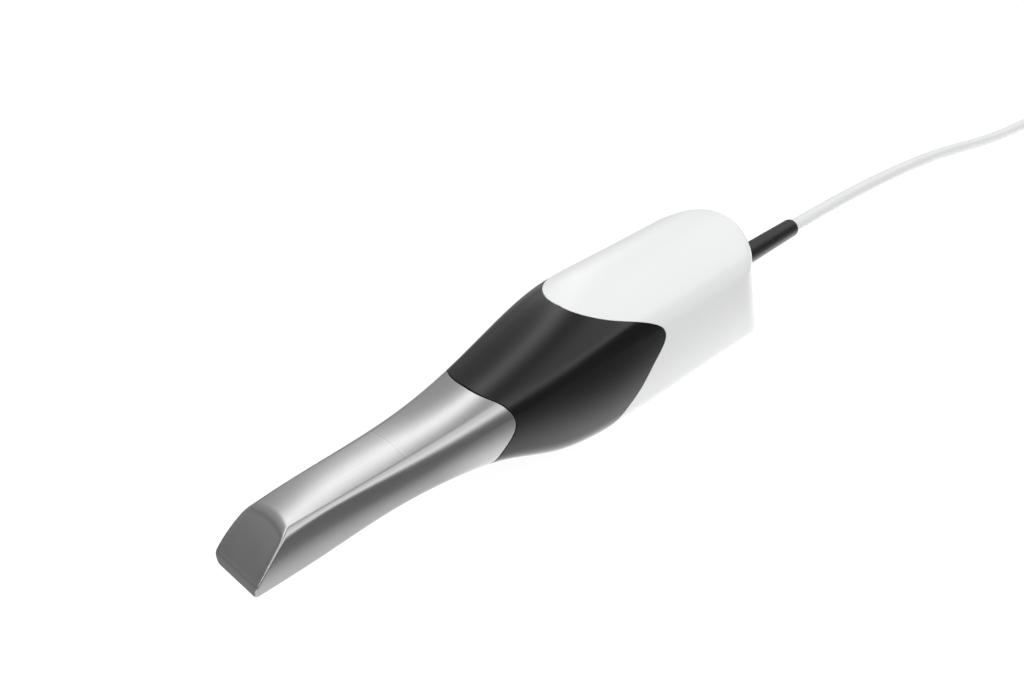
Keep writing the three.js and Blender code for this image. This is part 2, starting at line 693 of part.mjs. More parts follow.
function opticsChassis() {
  const half = CHASSIS_HALF_WIDTH;
  const inner = half - CHASSIS_WALL;
  const floorTop = CHASSIS_FLOOR + 2;
  const floor = block([CHASSIS_START, -half, CHASSIS_FLOOR], [CHASSIS_END, half, floorTop]);
  const walls = [-1, 1].map((side) => {
    const corner = [CHASSIS_START, inner * side, CHASSIS_FLOOR];
    return block(corner, [CHASSIS_END, half * side, CHASSIS_TOP]);
  });
  const plates = [CHASSIS_START, COIL_PLATE_X].map((x) => {
    return block([x, -half, CHASSIS_FLOOR], [x + PLATE_THICKNESS, half, CHASSIS_TOP + 1.2]);
  });
  const rests = [
    block([147, -6, floorTop - 1], [159, 6, AXIS_HEIGHT - 6.1]),
    block([163, -6, floorTop - 1], [179, 6, AXIS_HEIGHT - 7.1]),
  ];
  const ears = [-1, 1].map((side) => {
    const corner = [PIN_X - 2.5, 2.5 * side, PIN_HEIGHT - 2];
    return block(corner, [PIN_X + 2.5, 4.3 * side, CHASSIS_FLOOR + 1]);
  });
  const light = rod(CHASSIS_START - 1, COIL_PLATE_X + 5, 6.6, 24).translate(0, 0, AXIS_HEIGHT);
  const rods = [-1, 1].map((side) => {
    const hole = rod(CHASSIS_START - 1, COIL_PLATE_X + 5, ROD_RADIUS + 0.15);
    return hole.translate(0, ROD_OFFSET * side, AXIS_HEIGHT);
  });
  const screws = SCREW_PLACES.map(([y, z]) => {
    return screwHole(y, z, CHASSIS_START - 1, CHASSIS_START + PLATE_THICKNESS + 1);
  });
  const pinHole = rod(-8, 8, PIN_RADIUS + 0.15).rotateZ(PI / 2).translate(PIN_X, 0, PIN_HEIGHT);
  const solids = [floor, ...walls, ...plates, ...rests, ...ears].map(solid);
  const cuts = [light, ...rods, pinHole, latchNotch(CHASSIS_START - 1)].map(solid);
  const body = subtractAll(addAll(solids), [...cuts, ...screws]);
  piece("optics_chassis", geometryOf(body), aluminium);
}

// Two-armed lever: the nose stands up between the collar's prongs and the rear arm lies over
// the button.
function latchLever() {
  const boss = 1.9;
  const outline = new THREE.Shape();
  outline.moveTo(LEVER_NOSE_X, PIN_HEIGHT - 0.4);
  outline.lineTo(PIN_X - 1.6, PIN_HEIGHT - 1.1);
  outline.absarc(PIN_X, PIN_HEIGHT, boss, degrees(215), degrees(325));
  outline.lineTo(124, PIN_HEIGHT - 1.2);
  outline.lineTo(124, PIN_HEIGHT - 0.2);
  outline.lineTo(PIN_X + 1.7, PIN_HEIGHT + 0.8);
  outline.absarc(PIN_X, PIN_HEIGHT, boss, degrees(30), degrees(150));
  outline.lineTo(LEVER_NOSE_X + 1.7, PIN_HEIGHT + 1.3);
  outline.lineTo(LEVER_NOSE_X + 1.7, LEVER_HEIGHT - 1.2);
  outline.lineTo(LEVER_NOSE_X + 0.9, LEVER_HEIGHT);
  outline.lineTo(LEVER_NOSE_X, LEVER_HEIGHT);
  const hole = new THREE.Path();
  hole.absarc(PIN_X, PIN_HEIGHT, PIN_RADIUS + RUNNING_GAP, 0, 2 * PI);
  outline.holes.push(hole);
  piece("latch_lever", acrossY(outline, LEVER_WIDTH), steel);

  const pin = piece("latch_pin", rod(-4.2, 4.2, PIN_RADIUS), steel);
  pin.rotation.z = PI / 2;
  pin.position.set(PIN_X, 0, PIN_HEIGHT);
}

// Compression spring between the button and the chassis floor.
class Helix extends THREE.Curve {
  constructor(radius, bottom, top, turns) {
    super();
    Object.assign(this, { radius, bottom, top, turns });
  }

  getPoint(share, target = new THREE.Vector3()) {
    const angle = 2 * PI * this.turns * share;
    const height = this.bottom + (this.top - this.bottom) * share;
    return target.set(this.radius * cos(angle), this.radius * sin(angle), height);
  }
}

function buttonSpring() {
  const wire = 0.22;
  const bottom = underside(SPRING_X) + GRIP_WALL - BUTTON_PROUD + wire + 0.6;
  const top = CHASSIS_FLOOR - wire - 0.1;
  const section = new THREE.Shape().absarc(0, 0, wire, 0, 2 * PI);
  const path = new Helix(1.75, bottom, top, 4);
  const settings = { steps: 32, bevelEnabled: false, extrudePath: path, curveSegments: 3 };
  const mesh = piece("button_spring", new THREE.ExtrudeGeometry(section, settings), steel);
  mesh.position.x = SPRING_X;
}

// ---------------------------------------------------------------- focus drive

function focusDrive() {
  [["left", 1], ["right", -1]].forEach(([side, way]) => {
    const from = CHASSIS_START + 0.4;
    const geometry = rod(from, COIL_PLATE_X + PLATE_THICKNESS - 0.4, ROD_RADIUS);
    const mesh = piece(`focus_rod_${side}`, geometry, steel, onAxis);
    mesh.position.y = ROD_OFFSET * way;
  });

  const outline = roundedRectangle(new THREE.Shape(), 12, 6.9, 3);
  const lensHole = new THREE.Path();
  lensHole.absarc(0, 0, 5.8, 0, 2 * PI);
  outline.holes.push(lensHole);
  [-1, 1].forEach((side) => {
    const hole = new THREE.Path();
    hole.absarc(ROD_OFFSET * side, 0, ROD_RADIUS + RUNNING_GAP, 0, 2 * PI);
    outline.holes.push(hole);
  });
  const carriage = alongX(outline, CARRIAGE_START, CARRIAGE_END, 8);
  piece("focus_carriage", carriage, blackSatin, onAxis);
  piece("focus_lens", lens(CARRIAGE_START + 0.3, CARRIAGE_END - 0.3, 5.6, 1.3), glass, onAxis);
  piece("focus_coil", tube(CARRIAGE_END + 0.1, 134, 6.1, 6.7), copper, onAxis);
  piece("voice_coil_magnet", tube(130, COIL_PLATE_X - 0.1, 7.1, 9.1), magnet, onAxis);
}

// ---------------------------------------------------------------- camera and projector

function cameraAndProjector() {
  piece("beam_splitter", block([147, -6, -6], [159, 6, 6]), glass, onAxis);

  const barrel = roundedRectangle(new THREE.Shape(), 7, 7, 1.5);
  const bore = new THREE.Path();
  bore.absarc(0, 0, 5.6, 0, 2 * PI);
  barrel.holes.push(bore);
  piece("projector_housing", alongX(barrel, 163, 179, 8), blackAluminium, onAxis);
  piece("projector_lens", lens(164, 168.4, 5.4, 1.2), glass, onAxis);
  piece("projector_led_board", block([179.1, -7.5, -7.5], [180.7, 7.5, 7.5]), boardGreen, onAxis);

  const boardBottom = CHASSIS_TOP + FIT_GAP;
  const boardTop = boardBottom + 1.2;
  piece("sensor_board", block([145, -14, boardBottom], [163, 14, boardTop]), boardGreen);
  piece("image_sensor", block([147.5, -5.5, 16], [158.5, 5.5, boardBottom - 0.05]), chipBlack);
}

// ---------------------------------------------------------------- electronics

function mainBoard() {
  const board = new THREE.Shape();
  const middle = (BOARD_START + BOARD_END) / 2;
  const halfLength = (BOARD_END - BOARD_START) / 2;
  roundedRectangle(board, halfLength, BOARD_HALF_WIDTH, 1.5, middle, 0);
  BOARD_SCREWS.forEach(([x, y]) => {
    const hole = new THREE.Path();
    hole.absarc(x, y, 1.2, 0, 2 * PI);
    board.holes.push(hole);
  });
  const top = BOARD_HEIGHT + BOARD_THICKNESS;
  piece("main_board", upZ(board, BOARD_HEIGHT, top, 4), boardGreen);
  piece("processor", block([206, -7, top + 0.05], [220, 7, top + 1.8]), chipBlack);
  piece("cable_connector", block([230, -5.5, top + 0.05], [236.5, 5.5, 12]), nylon);

  BOARD_SCREWS.forEach(([x, y], i) => {
    const profile = [[-4.5, 0], [-4.5, 0.95], [0.1, 0.95], [0.1, 1.9], [1.3, 1.9], [1.3, 0]];
    const mesh = piece(`board_screw_${i + 1}`, turned(profile, 16), steel);
    mesh.rotation.y = -PI / 2;
    mesh.position.set(x, y, top);
  });
}

// Finned block that spreads the processor's heat to the housing.
function heatSpreader() {
  const bottom = BOARD_HEIGHT + BOARD_THICKNESS + 1.9;
  const base = 6;
  const finHeight = 10;
  const pitch = 4;
  const half = 13;
  const outline = new THREE.Shape();
  outline.moveTo(-half, bottom);
  outline.lineTo(half, bottom);
  outline.lineTo(half, bottom + base + finHeight);
  for (let edge = half - pitch / 2; edge > pitch / 2 - half; edge -= pitch) {
    outline.lineTo(edge, bottom + base + finHeight);
    outline.lineTo(edge, bottom + base);
    outline.lineTo(edge - pitch / 2, bottom + base);
    outline.lineTo(edge - pitch / 2, bottom + base + finHeight);
  }
  piece("heat_spreader", alongX(outline, 195, 229), aluminium);
}

// ---------------------------------------------------------------- cable

// Centre line of the cable from the bend relief to its cut end.
class CablePath extends THREE.Curve {
  getPoint(share, target = new THREE.Vector3()) {
    const start = RELIEF_END + 1.5;
    const x = start + (CABLE_END - start) * share;
    const lowest = REST_HEIGHT + CABLE_RADIUS;
    return target.set(x, cableDrift(x), max(cableFall(x), lowest));
  }
}

const cableFall = smoothCurve(CABLE_STATION, CABLE_FALL);
const cableDrift = smoothCurve(CABLE_STATION, CABLE_DRIFT);

function cable() {
  const straight = rod(236.6, RELIEF_END + 0.5, CABLE_RADIUS);
  piece("cable_inner", straight.translate(0, 0, CABLE_HEIGHT), cableGrey);
  const section = new THREE.Shape().absarc(0, 0, CABLE_RADIUS, 0, 2 * PI);
  const path = new CablePath();
  const settings = { steps: 22, bevelEnabled: false, extrudePath: path, curveSegments: 7 };
  piece("cable_outer", new THREE.ExtrudeGeometry(section, settings), cableGrey);
}

function bendRelief() {
  const bore = CABLE_RADIUS + 0.15;
  const flange = 238.7;
  const profile = [
    [flange, bore], [flange, 6], [flange + 2, 6], [flange + 2, 4.8], [252, 4.8], [255, 4.55],
    [RELIEF_END - 1.2, 4.1], [RELIEF_END - 0.4, 3.9], [RELIEF_END, 3.4], [RELIEF_END, bore],
    [flange, bore],
  ];
  piece("bend_relief", turned(profile).translate(0, 0, CABLE_HEIGHT), rubber);

  const clamp = roundedRectangle(new THREE.Shape(), 6, 5, 1, 0, CABLE_HEIGHT);
  const hole = new THREE.Path();
  hole.absarc(0, CABLE_HEIGHT, bore, 0, 2 * PI);
  clamp.holes.push(hole);
  piece("cable_clamp", alongX(clamp, 236.6, flange - FIT_GAP, 6), nylon);
}

sleeveShell();
scanWindow();
deflectionMirror();
sleeveCollar();
noseTube();
noseWindow();
relayLenses();
noseSeal();
noseScrews();
gripShell();
releaseButton();
housingShell();
housingGasket();
opticsChassis();
latchLever();
buttonSpring();
focusDrive();
cameraAndProjector();
mainBoard();
heatSpreader();
cable();
bendRelief();

const part = new THREE.Group();
part.add(scanner);

export default part;
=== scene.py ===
"""Looks of the intraoral camera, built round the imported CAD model.

Shapes are worked out in millimetres, in the same frame as the CAD source: x runs from the front
of the nose to the cable, y runs across and z runs up. place() moves them into the row frame.
"""

import json
from math import cos, pi, radians, sin

import bmesh
import bpy
import numpy as np
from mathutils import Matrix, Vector


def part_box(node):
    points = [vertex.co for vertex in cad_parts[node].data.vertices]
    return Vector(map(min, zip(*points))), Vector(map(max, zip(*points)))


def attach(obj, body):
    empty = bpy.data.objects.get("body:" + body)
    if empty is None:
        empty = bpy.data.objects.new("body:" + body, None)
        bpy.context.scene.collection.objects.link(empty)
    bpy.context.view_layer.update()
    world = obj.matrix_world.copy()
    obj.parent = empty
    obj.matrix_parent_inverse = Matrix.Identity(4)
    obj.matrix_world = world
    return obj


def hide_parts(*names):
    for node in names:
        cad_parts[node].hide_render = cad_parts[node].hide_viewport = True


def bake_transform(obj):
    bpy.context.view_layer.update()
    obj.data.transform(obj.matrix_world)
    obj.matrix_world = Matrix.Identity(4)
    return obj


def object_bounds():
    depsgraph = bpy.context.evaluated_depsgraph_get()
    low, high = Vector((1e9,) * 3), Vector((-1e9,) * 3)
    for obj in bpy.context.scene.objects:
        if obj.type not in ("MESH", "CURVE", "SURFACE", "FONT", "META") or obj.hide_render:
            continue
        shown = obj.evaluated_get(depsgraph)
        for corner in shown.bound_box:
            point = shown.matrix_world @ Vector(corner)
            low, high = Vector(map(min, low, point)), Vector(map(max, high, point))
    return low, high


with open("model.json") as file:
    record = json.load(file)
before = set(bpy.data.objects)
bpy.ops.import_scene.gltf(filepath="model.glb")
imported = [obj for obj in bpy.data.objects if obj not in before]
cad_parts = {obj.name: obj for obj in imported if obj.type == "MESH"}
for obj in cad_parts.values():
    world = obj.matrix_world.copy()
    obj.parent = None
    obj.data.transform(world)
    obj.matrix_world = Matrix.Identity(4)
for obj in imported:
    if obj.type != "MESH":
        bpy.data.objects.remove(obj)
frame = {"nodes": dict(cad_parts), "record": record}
cad_low, cad_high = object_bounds()

MM = 0.001
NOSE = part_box("sleeve_shell")[0].x

# ---------------------------------------------------------------- driving dimensions

# Outer form: half width and the heights of the top and the underside at stations along x.
STATION = [0, 25, 50, 75, 100, 125, 150, 175, 200, 253]
HALF_WIDTH = [11.1, 11.4, 12.7, 14.5, 17.2, 21.1, 24.4, 25.45, 25.45, 25.45]
TOP = [16.6, 18.1, 18.3, 19.9, 25, 31.6, 36.5, 37.3, 37.3, 37.3]
UNDERSIDE = [0, 0, 1.6, -0.3, -6.4, -15.8, -17.7, -17.7, -17.7, -17.7]
REST_HEIGHT = -17.7

# Rounding of the shoulder and of the bottom edge, how far the top falls from its crown, and how
# much the sides bulge about their widest level.
EDGE_STATION = [0, 28, 60, 120, 253]
SHOULDER_RADIUS = [3, 1.5, 2.8, 3.9, 3.9]
BOTTOM_RADIUS = [1.8, 2.5, 3.7, 9.5, 9.3]
CROWN_FALL = [1.4, 1.5, 1.9, 7.4, 10]
SIDE_BULGE = [0.5, 0.48, 0.44, 0.22, 0.22]
SIDE_WIDEST = [0.36, 0.38, 0.4, 0.65, 0.65]

# Nose: a gently convex sloping face, dished inside a rim, above a short upright lip.
LIP_HEIGHT = 4.4
BEVEL_SLOPE = 1.15
BEVEL_CURVE = 0.018
BEVEL_EDGE_RADIUS = 0.6
BEVEL_EDGE_GROWTH = 0.01
LIP_EDGE_RADIUS = 1
DISH_DEPTH = 0.3
DISH_RIM = 0.25
DISH_SOFTNESS = 1.3

# Rear wall: half an ellipse in plan, leaning outwards towards the bottom.
REAR_LENGTH = 236.6
REAR_LEAN = 0.32
REAR_DEPTH = 22
REAR_EDGE_RADIUS = 2.5
REAR_EDGE_GROWTH = 0.2

# The two joint lines between the casings, from the top centre (0) round to the bottom (180).
SLEEVE_JOINT_ANGLE = [0, 30, 60, 85, 116, 180]
SLEEVE_JOINT = [93.2, 94.8, 99.3, 100.4, 94.8, 88]
HOUSING_JOINT_ANGLE = [0, 27, 45, 62, 71, 90, 115, 130, 180]
HOUSING_JOINT = [139.8, 143.5, 153.1, 168, 171, 166.2, 156.7, 146, 133]
JOINT_GAP = 0.35

# Casing walls, the rounding of their ends, and the stepped lip of the grip.
SLEEVE_WALL = 0.65
GRIP_WALL = 2.2
HOUSING_WALL = 2.4
SLEEVE_END_RADIUS = 0.14
GRIP_FRONT_RADIUS = 0.22
GRIP_BACK_RADIUS = 0.12
HOUSING_FRONT_RADIUS = 0.16
LIP_DEPTH = 1.3
LIP_LENGTH = 4
SHELL_GAP = 0.3
GASKET_LENGTH = 1

# Scan window's opening in the sleeve: clearance round its frame, corner rounding and top.
WINDOW_CLEARANCE = 0.1
WINDOW_CORNER = 1.1
WINDOW_TOP = 2.5

# Fine ring groove round the sleeve.
GROOVE_X = 60
GROOVE_HALF_WIDTH = 0.06
GROOVE_DEPTH = 0.006

# Softened edges of the pieces that come over from the CAD.
SOFT_EDGE = 0.12

# Release button under the grip.
BUTTON_X = 123
BUTTON_LENGTH = 14
BUTTON_WIDTH = 8
BUTTON_PROUD = 0.3
BUTTON_GAP = 0.25
BUTTON_EDGE_RADIUS = 0.5
BUTTON_RIM_INSET = 0.3
PUSHER_X = 122.9
PUSHER_HALF_LENGTH = 0.9
PUSHER_HALF_WIDTH = 1.7
PUSHER_CORNER = 0.3

# Return spring of the release button.
SPRING_X = 127
SPRING_WIRE = 0.22
SPRING_RADIUS = 1.75
SPRING_TURNS = 4

# Bend relief and cable.
CABLE_RADIUS = 2.95
CABLE_START = 236.6
CABLE_HOLE_RADIUS = 5
CABLE_HOLE_ENDS = (235, 262)
RELIEF_START = 238.7
RELIEF_END = 297
RELIEF_BORE_GAP = 0.12
CABLE_STATION = [297, 340, 380, 420, 460, 500, 530, 566]
CABLE_FALL = [7.3, 6.2, 3.8, -0.1, -6.3, -12.6, -14.6, -14.75]
CABLE_DRIFT = [0, 0, 0, 0, 0, -1.4, -4, -7.5]
CABLE_HEIGHT = CABLE_FALL[0]
CABLE_END = CABLE_STATION[-1]

# Spacing of the rings that make up the casings, closest together where the form turns most.
# On the nose these are stations; on the rear wall they are the shares that rear_rings() takes.
NOSE_LIP_RINGS = [0.004, 0.02, 0.05, 0.1, 0.18, 0.3, 0.45, 0.65, 0.9, 1.15]
NOSE_END = 18.2
NOSE_INSIDE_RINGS = [16, 14.4, 12.5, 10.5, 8, 6, 4, 2.5, 1.6, 0.9]
REAR_REACHES = [
    0.08, 0.16, 0.24, 0.32, 0.4, 0.48, 0.56, 0.64, 0.7, 0.76, 0.81, 0.85, 0.88, 0.91,
    0.935, 0.96, 0.98, 1,
]
REAR_SHARES = [
    0.99, 0.98, 0.97, 0.955, 0.94, 0.92, 0.89, 0.85, 0.8, 0.74, 0.67, 0.6, 0.52, 0.44,
    0.36, 0.28, 0.2, 0.12, 0.05, 0.01,
]
REAR_INSIDE_SHARES = [0.01, 0.2, 0.4, 0.6, 0.75, 0.9, 1]

# ---------------------------------------------------------------- outer form


def smooth_curve(xs, ys):
    """Natural cubic spline through the given points, as a function of arrays."""
    xs = np.asarray(xs, float)
    ys = np.asarray(ys, float)
    step = np.diff(xs)
    count = len(xs)
    matrix = np.eye(count)
    right = np.zeros(count)
    for i in range(1, count - 1):
        matrix[i, i - 1:i + 2] = step[i - 1], 2 * (step[i - 1] + step[i]), step[i]
        right[i] = 6 * ((ys[i + 1] - ys[i]) / step[i] - (ys[i] - ys[i - 1]) / step[i - 1])
    bend = np.linalg.solve(matrix, right)

    def curve(value):
        x = np.clip(value, xs[0], xs[-1])
        i = np.clip(np.searchsorted(xs, x) - 1, 0, count - 2)
        b = (x - xs[i]) / step[i]
        a = 1 - b
        sag = ((a**3 - a) * bend[i] + (b**3 - b) * bend[i + 1]) * step[i] ** 2 / 6
        return a * ys[i] + b * ys[i + 1] + sag

    return curve


half_width = smooth_curve(STATION, HALF_WIDTH)
top_height = smooth_curve(STATION, TOP)
underside_curve = smooth_curve(STATION, UNDERSIDE)
shoulder_radius = smooth_curve(EDGE_STATION, SHOULDER_RADIUS)
bottom_radius = smooth_curve(EDGE_STATION, BOTTOM_RADIUS)
crown_fall = smooth_curve(EDGE_STATION, CROWN_FALL)
side_bulge = smooth_curve(EDGE_STATION, SIDE_BULGE)
side_widest = smooth_curve(EDGE_STATION, SIDE_WIDEST)


def underside(x):
    return np.maximum(underside_curve(x), REST_HEIGHT)


def bevel_height(x):
    return LIP_HEIGHT + BEVEL_SLOPE * x - BEVEL_CURVE * x * x


def bevel_slope(x):
    return BEVEL_SLOPE - 2 * BEVEL_CURVE * x


def rear_wall(y, z):
    """Station of the rear wall at a place across and up."""
    curve = 1 - np.sqrt(np.maximum(1 - (y / half_width(REAR_LENGTH)) ** 2, 0))
    return REAR_LENGTH + (top_height(REAR_LENGTH) - z) * REAR_LEAN - REAR_DEPTH * curve


def rounded_max(a, b, r):
    """The larger of two distances, with the edge where they cross rounded to radius r."""
    return np.minimum(-r, np.maximum(a, b)) + np.hypot(np.maximum(r + a, 0), np.maximum(r + b, 0))


def smooth_step(low, high, value):
    """0 below low, 1 above high, and a smooth rise between them."""
    t = np.clip((value - low) / (high - low), 0, 1)
    return t * t * (3 - 2 * t)


def nose_field(distance, x, z):
    """The body's distance with the sloping nose face and the lip taken off."""
    slope = bevel_slope(x)
    margin = np.minimum(-distance, x + 0.2)
    dish = DISH_DEPTH * smooth_step(DISH_RIM, DISH_RIM + DISH_SOFTNESS, margin)
    bevel = (z - bevel_height(x)) / np.sqrt(1 + slope * slope) + dish
    edge = BEVEL_EDGE_RADIUS + BEVEL_EDGE_GROWTH * np.maximum(x, 0)
    cut = rounded_max(distance, bevel, edge)
    cut = rounded_max(cut, -x, LIP_EDGE_RADIUS)
    return np.where(slope > 0, cut, distance)


def rear_field(distance, x, y, z, width, top):
    """The body's distance with the rounded rear wall taken off."""
    centre = REAR_LENGTH + (top - z) * REAR_LEAN - REAR_DEPTH
    reach = np.hypot((x - centre) / REAR_DEPTH, y / width)
    edge = np.clip((x - centre) * REAR_EDGE_GROWTH, 0.01, REAR_EDGE_RADIUS)
    cut = rounded_max(distance, (reach - 1) * REAR_DEPTH, edge)
    return np.where(x > centre, cut, distance)


def field(point):
    """Distance from the outer surface, near it: negative inside, zero on it, positive outside."""
    x, y, z = point[..., 0], point[..., 1], point[..., 2]
    width = half_width(x)
    top = top_height(x)
    bottom = underside(x)
    rise = (z - bottom) / (top - bottom)
    side = width * (1 - side_bulge(x) * (rise - side_widest(x)) ** 2)
    crown = top - crown_fall(x) * (y / width) ** 2
    distance = rounded_max(z - crown, np.abs(y) - side, shoulder_radius(x))
    distance = rounded_max(distance, bottom - z, bottom_radius(x))
    distance = nose_field(distance, x, z)
    return rear_field(distance, x, y, z, width, top)


def joint_line(angles, stations):
    """A joint line as a function of the angle round a section, square across the middle."""
    mirrored = [-angles[1], *angles, 360 - angles[-2]]
    return smooth_curve(mirrored, [stations[1], *stations, stations[-2]])


sleeve_joint = joint_line(SLEEVE_JOINT_ANGLE, SLEEVE_JOINT)
housing_joint = joint_line(HOUSING_JOINT_ANGLE, HOUSING_JOINT)

# ---------------------------------------------------------------- rings

SPOKES = 224
SPOKE_POWER = 0.7
REAR_SPINE = 205
FARTHEST = 70
HALVINGS = 36


def spread(value):
    """Crowds the spokes towards the corners of a section."""
    return np.sign(value) * np.abs(value) ** SPOKE_POWER


TURN = np.arange(SPOKES) * 2 * pi / SPOKES
ACROSS = spread(np.sin(TURN))
UP = spread(np.cos(TURN))
ANGLE = np.degrees(np.arctan2(np.abs(ACROSS), UP))


def cast(start, ray, depth):
    """Points where rays from inside the body reach a depth under its surface."""
    near = np.zeros(start.shape[:-1])
    far = np.full(start.shape[:-1], float(FARTHEST))
    for _ in range(HALVINGS):
        reach = (near + far) / 2
        inside = field(start + ray * reach[..., None]) < -depth
        near = np.where(inside, reach, near)
        far = np.where(inside, far, reach)
    return start + ray * near[..., None]


def section_heights(x):
    """Middle and half height of the section at a station, under the sloping nose face."""
    top = np.where(bevel_slope(x) > 0, np.minimum(top_height(x), bevel_height(x)), top_height(x))
    return (top + underside(x)) / 2, (top - underside(x)) / 2


def rings(stations, depths):
    """Rings of points: one station (a number or one per spoke) and one depth for each ring."""
    x = np.stack([np.broadcast_to(np.asarray(s, float), SPOKES) for s in stations])
    middle, half = section_heights(x)
    ray = np.stack([np.zeros_like(x), ACROSS * half_width(x), UP * half], -1)
    ray /= np.linalg.norm(ray, axis=-1, keepdims=True)
    start = np.stack([x, np.zeros_like(x), middle], -1)
    return cast(start, ray, np.asarray(depths, float)[:, None])


def between(start, end, count):
    """Stations spread evenly from one line to another, both included."""
    return [start + (end - start) * i / (count - 1) for i in range(count)]


def fold(edge, way, radius, steps=5):
    """Stations and depths of a rounded edge that turns in from the surface. way is +1 at the
    piece's end towards +x and -1 at its end towards -x."""
    turns = [0.5 * pi * i / steps for i in range(steps + 1)]
    stations = [edge - way * radius * (1 - sin(turn)) for turn in turns]
    depths = [radius * (1 - cos(turn)) for turn in turns]
    return stations, depths


def rear_rings(shares, depth, reaches=()):
    """Rings on the rear wall. reaches run from the spine's ring (0) to the rim (1); shares run
    from the rim (1) to the middle of the wall (0)."""
    rim = rings([REAR_SPINE], [depth])[0]
    rim[:, 0] = rear_wall(rim[:, 1] * 0.9, rim[:, 2]) - depth
    middle = section_heights(np.array(REAR_SPINE))[0]
    centre = np.array([rear_wall(0, middle) - depth, 0, middle])
    targets = []
    for reach in reaches:
        target = rim.copy()
        target[:, 0] = REAR_SPINE + (rim[:, 0] - REAR_SPINE) * reach
        targets.append(target)
    for share in shares:
        targets.append(rim * share + centre * (1 - share))
    targets = np.stack(targets)
    start = np.broadcast_to(np.array([REAR_SPINE, 0, middle], float), targets.shape)
    ray = targets - start
    ray = ray / np.linalg.norm(ray, axis=-1, keepdims=True)
    return cast(start, ray, depth)


# ---------------------------------------------------------------- meshes


def place(points):
    """Millimetres from the front of the nose into the row frame, in metres."""
    moved = np.asarray(points, float) * MM
    moved[..., 0] += NOSE
    return moved


def add_piece(name, points, faces, slot, body, replaces=(), sharp=40):
    """A mesh piece in the row frame, smooth shaded, that rides on a body."""
    mesh = bpy.data.meshes.new(name)
    mesh.from_pydata(place(points).tolist(), [], faces)
    shape = bmesh.new()
    shape.from_mesh(mesh)
    bmesh.ops.remove_doubles(shape, verts=shape.verts, dist=1e-7)
    bmesh.ops.recalc_face_normals(shape, faces=shape.faces)
    shape.to_mesh(mesh)
    shape.free()
    mesh.shade_smooth()
    mesh.set_sharp_from_angle(angle=radians(sharp))
    piece = bpy.data.objects.new(name, mesh)
    bpy.context.scene.collection.objects.link(piece)
    piece.data.materials.clear()
    piece.data.materials.append(MATERIALS[slot])
    if body:
        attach(piece, body)
    if replaces:
        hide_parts(*replaces)
    return piece


def grid_faces(count, size, closed=False):
    """Quads between neighbouring rings of the same size; closed joins the last to the first."""
    faces = []
    for i in range(count if closed else count - 1):
        a = i * size
        b = ((i + 1) % count) * size
        for k in range(size):
            n = (k + 1) % size
            faces.append((a + k, b + k, b + n, a + n))
    return faces


def capped(grid):
    """Points and faces of a closed surface: rings with a flat fan at both ends."""
    count, size = grid.shape[:2]
    points = grid.reshape(-1, 3)
    ends = np.stack([grid[0].mean(0), grid[-1].mean(0)])
    faces = grid_faces(count, size)
    first = count * size
    last = (count - 1) * size
    for k in range(size):
        n = (k + 1) % size
        faces.append((first, k, n))
        faces.append((first + 1, last + n, last + k))
    return np.concatenate([points, ends]), faces


def looped(grid):
    """Points and faces of a closed surface whose last ring joins the first."""
    count, size = grid.shape[:2]
    return grid.reshape(-1, 3), grid_faces(count, size, closed=True)


def turned(profile, height, segments=64):
    """Rings turned about an axis along x at a height, from pairs of station and radius."""
    turn = np.arange(segments) * 2 * pi / segments
    grid = []
    for x, radius in profile:
        ring = [np.full(segments, float(x)), radius * np.cos(turn)]
        grid.append(np.stack([*ring, height + radius * np.sin(turn)], -1))
    return np.stack(grid)


def rounded_outline(half_a, half_b, corner, steps=8):
    """Points round a rounded rectangle centred on the origin."""
    points = []
    for quarter, (a, b) in enumerate([(1, 1), (-1, 1), (-1, -1), (1, -1)]):
        for i in range(steps + 1):
            turn = 0.5 * pi * (quarter + i / steps)
            along = a * (half_a - corner) + corner * cos(turn)
            points.append((along, b * (half_b - corner) + corner * sin(turn)))
    return np.array(points)


def apply_modifiers(piece):
    """Bakes the piece's modifiers into its mesh."""
    bpy.context.view_layer.update()
    evaluated = piece.evaluated_get(bpy.context.evaluated_depsgraph_get())
    mesh = bpy.data.meshes.new_from_object(evaluated)
    piece.modifiers.clear()
    piece.data = mesh


def cut_hole(piece, points, faces):
    """Takes a closed shape out of a piece."""
    mesh = bpy.data.meshes.new("cutter")
    mesh.from_pydata(place(points).tolist(), [], faces)
    shape = bmesh.new()
    shape.from_mesh(mesh)
    bmesh.ops.recalc_face_normals(shape, faces=shape.faces)
    shape.to_mesh(mesh)
    shape.free()
    cutter = bpy.data.objects.new("cutter", mesh)
    bpy.context.scene.collection.objects.link(cutter)
    modifier = piece.modifiers.new("cut", "BOOLEAN")
    modifier.operation = "DIFFERENCE"
    modifier.solver = "EXACT"
    modifier.object = cutter
    apply_modifiers(piece)
    bpy.data.objects.remove(cutter)
    piece.data.set_sharp_from_angle(angle=radians(40))


# ---------------------------------------------------------------- material helpers


def add_node(tree, kind, inputs=None, **settings):
    """Adds a shader node with its settings; an input takes a value or another node's output."""
    node = tree.nodes.new(kind)
    for name, value in settings.items():
        setattr(node, name, value)
    for name, value in (inputs or {}).items():
        if isinstance(value, bpy.types.NodeSocket):
            tree.links.new(value, node.inputs[name])
        else:
            node.inputs[name].default_value = value
    return node


def mapped(tree, stretch=(1, 1, 1)):
    """Object coordinates in metres, stretched."""
    place_of = add_node(tree, "ShaderNodeTexCoord").outputs["Object"]
    inputs = {"Vector": place_of, "Scale": stretch}
    return add_node(tree, "ShaderNodeMapping", inputs).outputs["Vector"]


def noise(tree, scale, stretch=(1, 1, 1), detail=3.0):
    """A grey noise of about one blob per 1/scale metres."""
    inputs = {"Vector": mapped(tree, stretch), "Scale": scale, "Detail": detail}
    return add_node(tree, "ShaderNodeTexNoise", inputs).outputs["Fac"]


